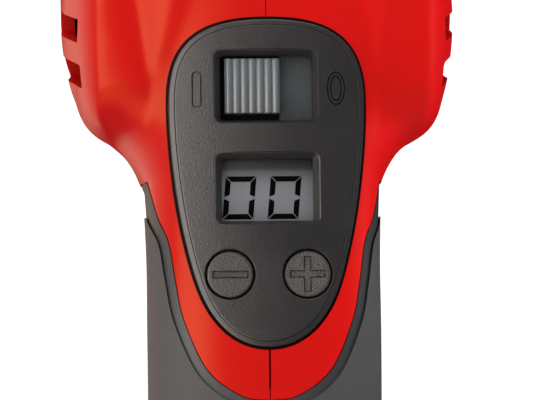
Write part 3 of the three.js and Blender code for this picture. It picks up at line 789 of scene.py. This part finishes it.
def finish_of(name, color, roughness, grain=0.3, bump=0.15, mottle=0.08, rough_spread=0.1, metal=0.0,
              specular=0.5, tint_specular=(1, 1, 1), alpha=1.0, depth=0.35):
    """A moulded or drawn surface: grain of the given size in mm, slow colour mottle and uneven gloss."""
    material = bpy.data.materials.new(name)
    material.use_nodes = True
    tree = material.node_tree
    shader = tree.nodes["Principled BSDF"]
    link = tree.links.new
    place = node(tree, "ShaderNodeTexCoord").outputs["Object"]
    fine = node(tree, "ShaderNodeTexNoise", Scale=1 / (grain * MM), Detail=3.0, Roughness=0.6)
    slow = node(tree, "ShaderNodeTexNoise", Scale=70.0, Detail=4.0, Roughness=0.55)
    link(place, fine.inputs["Vector"])
    link(place, slow.inputs["Vector"])
    tint = node(tree, "ShaderNodeMapRange", To_Min=1 - mottle, To_Max=1 + mottle)
    link(slow.outputs["Fac"], tint.inputs["Value"])
    speck = node(tree, "ShaderNodeMapRange", To_Min=1 - mottle, To_Max=1 + mottle)
    link(fine.outputs["Fac"], speck.inputs["Value"])
    both = node(tree, "ShaderNodeMath", operation="MULTIPLY")
    link(tint.outputs[0], both.inputs[0])
    link(speck.outputs[0], both.inputs[1])
    scaled = node(tree, "ShaderNodeVectorMath", operation="SCALE")
    scaled.inputs[0].default_value = color
    link(both.outputs[0], scaled.inputs["Scale"])
    link(scaled.outputs[0], shader.inputs["Base Color"])
    gloss = node(tree, "ShaderNodeMapRange", To_Min=roughness - rough_spread,
                 To_Max=roughness + rough_spread)
    link(slow.outputs["Fac"], gloss.inputs["Value"])
    link(gloss.outputs[0], shader.inputs["Roughness"])
    relief_node = node(tree, "ShaderNodeBump", Strength=bump, Distance=grain * MM * depth)
    link(fine.outputs["Fac"], relief_node.inputs["Height"])
    link(relief_node.outputs[0], shader.inputs["Normal"])
    shader.inputs["Metallic"].default_value = metal
    shader.inputs["Specular IOR Level"].default_value = specular
    shader.inputs["Specular Tint"].default_value = (*tint_specular, 1)
    shader.inputs["Alpha"].default_value = alpha
    return material


def heated_steel():
    """Drawn steel that turns straw and blue towards the mouth."""
    material = finish_of("outlet_steel", (0.5, 0.49, 0.47), 0.28, grain=0.6, bump=0.05, metal=1.0)
    tree = material.node_tree
    shader = tree.nodes["Principled BSDF"]
    place = node(tree, "ShaderNodeTexCoord")
    parts = node(tree, "ShaderNodeSeparateXYZ")
    tree.links.new(place.outputs["Object"], parts.inputs[0])
    wander = node(tree, "ShaderNodeTexNoise", Scale=45.0, Detail=2.0)
    tree.links.new(place.outputs["Object"], wander.inputs["Vector"])
    shifted = node(tree, "ShaderNodeMath", operation="MULTIPLY_ADD")
    tree.links.new(wander.outputs["Fac"], shifted.inputs[0])
    shifted.inputs[1].default_value = 0.012
    tree.links.new(parts.outputs["Y"], shifted.inputs[2])
    mouth = placed((0, NOZZLE_END, 0))[1]
    along = node(tree, "ShaderNodeMapRange", From_Min=mouth - 0.046, From_Max=mouth + 0.006)
    tree.links.new(shifted.outputs[0], along.inputs["Value"])
    ramp = node(tree, "ShaderNodeValToRGB")
    stops = ramp.color_ramp.elements
    stops[0].color = (0.5, 0.49, 0.47, 1)
    stops[1].position = 1.0
    stops[1].color = (0.16, 0.19, 0.27, 1)
    tints = ((0.4, (0.52, 0.42, 0.26, 1)), (0.65, (0.38, 0.22, 0.16, 1)), (0.82, (0.22, 0.14, 0.24, 1)))
    for position, color in tints:
        stops.new(position).color = color
    tree.links.new(along.outputs[0], ramp.inputs["Fac"])
    tree.links.new(ramp.outputs["Color"], shader.inputs["Base Color"])
    return material


def display_with_painted_shadow():
    """A grey display with a painted shadow of the window's brim: its colour darkens towards its top edge."""
    material = finish_of("lcd", (0.235, 0.245, 0.26), 0.35, grain=0.2, bump=0.05, mottle=0.05)
    tree = material.node_tree
    shader = tree.nodes["Principled BSDF"]
    parts = node(tree, "ShaderNodeSeparateXYZ")
    tree.links.new(node(tree, "ShaderNodeTexCoord").outputs["Object"], parts.inputs[0])
    # Painted shadow: the base colour is darkened by height, darkest along the top edge under the brim.
    foot, top = (placed(from_panel([[0, v, LCD_TOP]]))[0, 2] for v in (-3.0, 5.2))
    along = node(tree, "ShaderNodeMapRange", From_Min=foot, From_Max=top)
    tree.links.new(parts.outputs["Z"], along.inputs["Value"])
    ramp = node(tree, "ShaderNodeValToRGB")
    stops = ramp.color_ramp.elements
    stops[0].color = (1, 1, 1, 1)
    stops[1].position = 1.0
    stops[1].color = (0.17, 0.17, 0.17, 1)
    for position, shade in ((0.35, 0.9), (0.62, 0.6), (0.68, 0.55), (0.76, 0.24)):
        stops.new(position).color = (shade, shade, shade, 1)
    tree.links.new(along.outputs[0], ramp.inputs["Fac"])
    painted_brim_shadow = node(tree, "ShaderNodeVectorMath", operation="MULTIPLY")
    tree.links.new(shader.inputs["Base Color"].links[0].from_socket, painted_brim_shadow.inputs[0])
    tree.links.new(ramp.outputs["Color"], painted_brim_shadow.inputs[1])
    tree.links.new(painted_brim_shadow.outputs[0], shader.inputs["Base Color"])
    return material


def plain_finishes():
    looks = {
        "red_shell": dict(color=(0.58, 0.0035, 0.005), roughness=0.31, grain=0.35, bump=0.2, mottle=0.02,
                          rough_spread=0.03, specular=0.1, tint_specular=(0.85, 1.0, 0.4)),
        "panel_grey": dict(color=(0.024, 0.0225, 0.0225), roughness=0.37, grain=0.32, bump=0.75,
                           mottle=0.3, specular=0.45),
        "button_grey": dict(color=(0.045, 0.042, 0.041), roughness=0.45, grain=0.34, bump=1.0,
                            mottle=0.3, depth=0.7),
        "soft_grip": dict(color=(0.062, 0.06, 0.061), roughness=0.7, bump=0.9, mottle=0.2, specular=0.22),
        "grip_edge": dict(color=(0.036, 0.038, 0.04), roughness=0.55, grain=0.25, bump=0.3, mottle=0.1,
                          specular=0.3),
        "knob_grey": dict(color=(0.12, 0.132, 0.138), roughness=0.42, bump=0.2),
        "shutter_grey": dict(color=(0.06, 0.069, 0.073), roughness=0.45, grain=0.35, bump=0.8, mottle=0.35),
        "black_plastic": dict(color=(0.014, 0.014, 0.015), roughness=0.48, bump=0.35, mottle=0.1),
        "clear_window": dict(color=(0.02, 0.02, 0.02), roughness=0.08, bump=0.0, rough_spread=0.02,
                             alpha=0.05),
        # Painted shade: a matte black for the panel's gap and round the knob's edges, where only shadow falls.
        "painted_shade_black": dict(color=(0.004, 0.004, 0.004), roughness=0.8, bump=0.1, specular=0.05),
        "ink": dict(color=(0.002, 0.002, 0.002), roughness=0.6, grain=0.2, bump=0.02, specular=0.0),
        "steel": dict(color=(0.48, 0.47, 0.45), roughness=0.3, grain=0.4, bump=0.06, metal=1.0),
        "wire": dict(color=(0.42, 0.3, 0.2), roughness=0.4, bump=0.1, metal=1.0),
        "mica": dict(color=(0.6, 0.52, 0.36), roughness=0.4, grain=0.8, bump=0.2, mottle=0.2),
        "ceramic": dict(color=(0.76, 0.73, 0.66), roughness=0.6, bump=0.3),
        "circuit_board": dict(color=(0.012, 0.1, 0.042), roughness=0.4, grain=0.5, bump=0.1),
        "aluminium": dict(color=(0.6, 0.61, 0.62), roughness=0.35, bump=0.1, metal=1.0),
        "white_plastic": dict(color=(0.74, 0.73, 0.69), roughness=0.45),
    }
    return {name: finish_of(name, **look) for name, look in looks.items()}


FINISHES = {**plain_finishes(), "lcd": display_with_painted_shadow(), "outlet_steel": heated_steel()}


def dress(piece, finish, body_name, slot, *nodes):
    piece.data.materials.clear()
    piece.data.materials.append(FINISHES[finish])
    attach(piece, body_name)
    if nodes:
        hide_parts(*nodes)


# ---- Stage ----
FLOOR_R = 7000.0


def disc(name, radius, height, sides=96):
    points = [(x, y, height) for x, y in zip(*circle(radius, sides))]
    made = make(name, points, [tuple(range(sides))])
    return made


def floor():
    """A pale floor, and a glow over it that whitens it away from the tool for the camera alone."""
    ground = disc("floor", FLOOR_R, 0)
    ground.visible_glossy = False
    ground.visible_shadow = False
    material = bpy.data.materials.new("pale_floor")
    material.use_nodes = True
    shader = material.node_tree.nodes["Principled BSDF"]
    shader.inputs["Base Color"].default_value = (0.8, 0.8, 0.8, 1)
    shader.inputs["Roughness"].default_value = 0.8
    shader.inputs["Specular IOR Level"].default_value = 0.1
    ground.data.materials.append(material)
    haze = disc("floor_glow", FLOOR_R, 0.5)
    for ray in ("visible_diffuse", "visible_glossy", "visible_transmission", "visible_shadow"):
        setattr(haze, ray, False)
    material = bpy.data.materials.new("floor_glow")
    material.use_nodes = True
    tree = material.node_tree
    tree.nodes.clear()
    place = node(tree, "ShaderNodeTexCoord")
    length = node(tree, "ShaderNodeVectorMath", operation="LENGTH")
    tree.links.new(place.outputs["Object"], length.inputs[0])
    share = node(tree, "ShaderNodeMapRange", interpolation_type="SMOOTHSTEP", From_Min=0.1, From_Max=0.4)
    tree.links.new(length.outputs["Value"], share.inputs["Value"])
    mix = node(tree, "ShaderNodeMixShader")
    tree.links.new(share.outputs[0], mix.inputs["Fac"])
    tree.links.new(node(tree, "ShaderNodeBsdfTransparent").outputs[0], mix.inputs[1])
    tree.links.new(node(tree, "ShaderNodeEmission", Strength=1.2).outputs[0], mix.inputs[2])
    tree.links.new(mix.outputs[0], node(tree, "ShaderNodeOutputMaterial").inputs["Surface"])
    haze.data.materials.append(material)


def area_light(name, place, size, watts, color=(1, 1, 1)):
    """A soft light aimed at the panel; place is in metres from the panel's centre."""
    light = bpy.data.lights.new(name, "AREA")
    light.shape = "RECTANGLE"
    light.size, light.size_y = size
    light.energy = watts
    light.color = color
    lamp = bpy.data.objects.new(name, light)
    bpy.context.scene.collection.objects.link(lamp)
    lamp.location = Vector(placed(PANEL_CENTRE)) + Vector(place)
    lamp.rotation_euler = (-Vector(place)).to_track_quat("-Z", "Y").to_euler()
    return lamp


def lights():
    """Lights that only show as sheen, lights that only fill, and an even white surround."""
    for name, place, size, watts, color in (
        ("sheen_left", (-1.0, -0.75, 0.15), (1.2, 1.4), 38, (1, 0.95, 0.92)),
        ("sheen_low", (-0.8, -0.7, -0.7), (1.0, 1.0), 14, (1, 0.6, 0.35)),
        ("sheen_rim", (-1.0, 0.8, -0.15), (1.6, 1.6), 13, (1, 0.68, 0.52)),
        ("sheen_top", (0, 0.2, 1.6), (1.6, 1.6), 30, (1, 0.9, 0.8)),
    ):
        area_light(name, place, size, watts, color).visible_diffuse = False
    for name, place, size, watts in (
        ("fill_left", (-1.0, -0.7, 0.6), (0.8, 0.8), 3.5),
        ("fill_high", (-0.2, -0.8, 1.3), (0.7, 0.7), 7),
        ("fill_right", (1.2, 0.15, 0.1), (0.8, 0.8), 11),
    ):
        area_light(name, place, size, watts).visible_glossy = False
    world = bpy.data.worlds.new("studio")
    bpy.context.scene.world = world
    world.use_nodes = True
    world.cycles_visibility.glossy = False
    background = world.node_tree.nodes["Background"]
    background.inputs["Color"].default_value = (1, 1, 1, 1)
    background.inputs["Strength"].default_value = 0.75


CAMERA_YAW = math.radians(3.2)
CAMERA_PITCH = math.radians(8)
CAMERA_AWAY = 800.0
SENSOR_WIDE = 36.0
FRAME_WIDE = 110.4
AIM_RIGHT = -0.3
AIM_UP = -3.6


def camera():
    data = bpy.data.cameras.new("camera")
    data.sensor_width = SENSOR_WIDE
    data.lens = SENSOR_WIDE * CAMERA_AWAY / FRAME_WIDE
    data.clip_start, data.clip_end = 0.01, 50
    viewer = bpy.data.objects.new("camera", data)
    bpy.context.scene.collection.objects.link(viewer)
    level = Vector((math.sin(CAMERA_YAW), math.cos(CAMERA_YAW), 0))
    ahead = level * math.cos(CAMERA_PITCH) - Vector((0, 0, math.sin(CAMERA_PITCH)))
    right = Vector((math.cos(CAMERA_YAW), -math.sin(CAMERA_YAW), 0))
    up = right.cross(ahead)
    aim = Vector(placed(PANEL_CENTRE)) + (right * AIM_RIGHT + up * AIM_UP) * MM
    viewer.matrix_world = Matrix((right, up, -ahead)).transposed().to_4x4()
    viewer.location = aim - ahead * CAMERA_AWAY * MM
    bpy.context.scene.camera = viewer


# ---- Assembly ----
camera()
floor()
lights()
bpy.context.scene.view_settings.view_transform = "Standard"

slots = {row["node"]: row["material_slot"] for row in frame["record"]["subparts"]}
for name, carried in frame["nodes"].items():
    carried.data.materials.clear()
    carried.data.materials.append(FINISHES[slots[name]])

shell_left, shell_right = shells()
dress(shell_left, "red_shell", "body", "red_shell", "housing_left")
dress(shell_right, "red_shell", "body", "red_shell", "housing_right")
soft_left, edge_left, soft_right, edge_right = grips()
dress(soft_left, "soft_grip", "body", "soft_grip", "grip_left")
dress(soft_right, "soft_grip", "body", "soft_grip", "grip_right")
dress(edge_left, "grip_edge", "body", "soft_grip")
dress(edge_right, "grip_edge", "body", "soft_grip")

dress(control_panel(), "panel_grey", "body", "panel_grey", "control_panel")
# Painted shade: the black ring fills the panel's gap where only shadow falls.
dress(panel_gap_shade(), "painted_shade_black", "body", "black_plastic")
knob, shutter, knob_shadow_sheet = slider()
dress(knob, "knob_grey", "switch_slider", "knob_grey", "switch_slider")
dress(shutter, "shutter_grey", "switch_slider", "knob_grey")
dress(knob_shadow_sheet, "painted_shade_black", "switch_slider", "knob_grey")
dress(button("button_minus", BUTTON_PLACES[0], [(3.75, 0.8)]), "button_grey", "minus_button", "panel_grey",
      "minus_button")
dress(button("button_plus", BUTTON_PLACES[1], [(3.7, 0.8), (0.8, 3.7)]), "button_grey", "plus_button",
      "panel_grey", "plus_button")
module, cover, tens, units = display()
dress(module, "lcd", "body", "lcd", "lcd_module")
dress(cover, "clear_window", "body", "clear_window", "display_window")
dress(tens, "ink", "body", "lcd")
dress(units, "ink", "body", "lcd")

dress(nozzle_guard(), "black_plastic", "body", "black_plastic", "nozzle_guard")
dress(nozzle_tube(), "outlet_steel", "body", "steel", "nozzle_tube")
dress(heat_shield(), "steel", "body", "steel", "heat_shield")
dress(heating_wire(), "wire", "body", "wire", "heater_coil")
dress(cable_gland(), "black_plastic", "body", "black_plastic", "cable_gland")
for number, ((y, z), seat) in enumerate(zip(SCREW_PLACES, HEAD_SEATS), 1):
    dress(screw(number, y, z, seat), "steel", "body", "steel", f"housing_screw_{number}")
